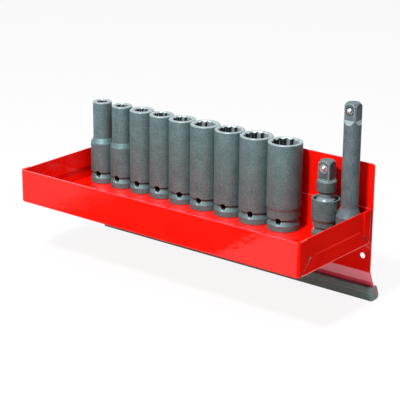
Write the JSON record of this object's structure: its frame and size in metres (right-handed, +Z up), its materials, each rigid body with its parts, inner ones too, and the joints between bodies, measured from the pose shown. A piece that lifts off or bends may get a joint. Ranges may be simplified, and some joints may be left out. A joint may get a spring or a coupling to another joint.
{
  "type": "socket rack tray",
  "caption": "Wall-hung folded steel tray with a rubber-edged back plate, holding a row of deep impact sockets, a universal joint and an extension bar.",
  "frame": {"origin": "midway between the two screw holes, on the back plate's rear face", "axes": "+X along the rack to the extension bar's end, +Y back to the wall, +Z up"},
  "size_m": [0.312, 0.127, 0.1821],
  "materials": {
    "red_enamel": "glossy red enamel",
    "trim_rubber": "satin extruded rubber",
    "phosphate_steel": "dark grey phosphate",
    "ball_steel": "polished",
    "pin_steel": "ground"
  },
  "bodies": {
    "rack": {"tray_pan": "red_enamel", "back_plate": "red_enamel", "edge_trim": "trim_rubber"},
    "socket_3_8": {"socket_3_8": "phosphate_steel"},
    "socket_7_16": {"socket_7_16": "phosphate_steel"},
    "socket_1_2": {"socket_1_2": "phosphate_steel"},
    "socket_9_16": {"socket_9_16": "phosphate_steel"},
    "socket_5_8": {"socket_5_8": "phosphate_steel"},
    "socket_11_16": {"socket_11_16": "phosphate_steel"},
    "socket_3_4": {"socket_3_4": "phosphate_steel"},
    "socket_13_16": {"socket_13_16": "phosphate_steel"},
    "socket_7_8": {"socket_7_8": "phosphate_steel"},
    "universal": {"universal_body": "phosphate_steel"},
    "universal_cross": {"universal_block": "phosphate_steel", "universal_main_pin": "pin_steel", "universal_cross_pin": "pin_steel"},
    "universal_head": {"universal_head": "phosphate_steel", "universal_detent_spring": "pin_steel"},
    "universal_ball": {"universal_detent_ball": "ball_steel"},
    "extension": {"extension_bar": "phosphate_steel", "extension_detent_spring": "pin_steel"},
    "extension_ball": {"extension_detent_ball": "ball_steel"}
  },
  "joints": [
    {"name": "socket_3_8_lift", "type": "slide", "parent": "rack", "child": "socket_3_8", "axis": [0, 0, 1], "range_m": [0, 0.13]},
    {"name": "socket_7_16_lift", "type": "slide", "parent": "rack", "child": "socket_7_16", "axis": [0, 0, 1], "range_m": [0, 0.13]},
    {"name": "socket_1_2_lift", "type": "slide", "parent": "rack", "child": "socket_1_2", "axis": [0, 0, 1], "range_m": [0, 0.13]},
    {"name": "socket_9_16_lift", "type": "slide", "parent": "rack", "child": "socket_9_16", "axis": [0, 0, 1], "range_m": [0, 0.13]},
    {"name": "socket_5_8_lift", "type": "slide", "parent": "rack", "child": "socket_5_8", "axis": [0, 0, 1], "range_m": [0, 0.13]},
    {"name": "socket_11_16_lift", "type": "slide", "parent": "rack", "child": "socket_11_16", "axis": [0, 0, 1], "range_m": [0, 0.13]},
    {"name": "socket_3_4_lift", "type": "slide", "parent": "rack", "child": "socket_3_4", "axis": [0, 0, 1], "range_m": [0, 0.13]},
    {"name": "socket_13_16_lift", "type": "slide", "parent": "rack", "child": "socket_13_16", "axis": [0, 0, 1], "range_m": [0, 0.13]},
    {"name": "socket_7_8_lift", "type": "slide", "parent": "rack", "child": "socket_7_8", "axis": [0, 0, 1], "range_m": [0, 0.13]},
    {"name": "universal_lift", "type": "slide", "parent": "rack", "child": "universal", "axis": [0, 0, 1], "range_m": [0, 0.13]},
    {"name": "universal_cross_tilt", "type": "hinge", "parent": "universal", "child": "universal_cross", "pos_m": [0.1173, -0.0152, 0.0432], "axis": [1, 0, 0], "range_deg": [-7, 20]},
    {"name": "universal_head_tilt", "type": "hinge", "parent": "universal_cross", "child": "universal_head", "pos_m": [0.1173, -0.0152, 0.0432], "axis": [0, 1, 0], "range_deg": [-20, 12]},
    {"name": "universal_detent", "type": "slide", "parent": "universal_head", "child": "universal_ball", "axis": [0, 1, 0], "range_m": [0, 0.001], "stiffness_N_per_m": 2000, "springref_m": -0.001, "deforming": ["universal_detent_spring"]},
    {"name": "extension_lift", "type": "slide", "parent": "rack", "child": "extension", "axis": [0, 0, 1], "range_m": [0, 0.13]},
    {"name": "extension_detent", "type": "slide", "parent": "extension", "child": "extension_ball", "axis": [0, 1, 0], "range_m": [0, 0.001], "stiffness_N_per_m": 2000, "springref_m": -0.001, "deforming": ["extension_detent_spring"]}
  ]
}
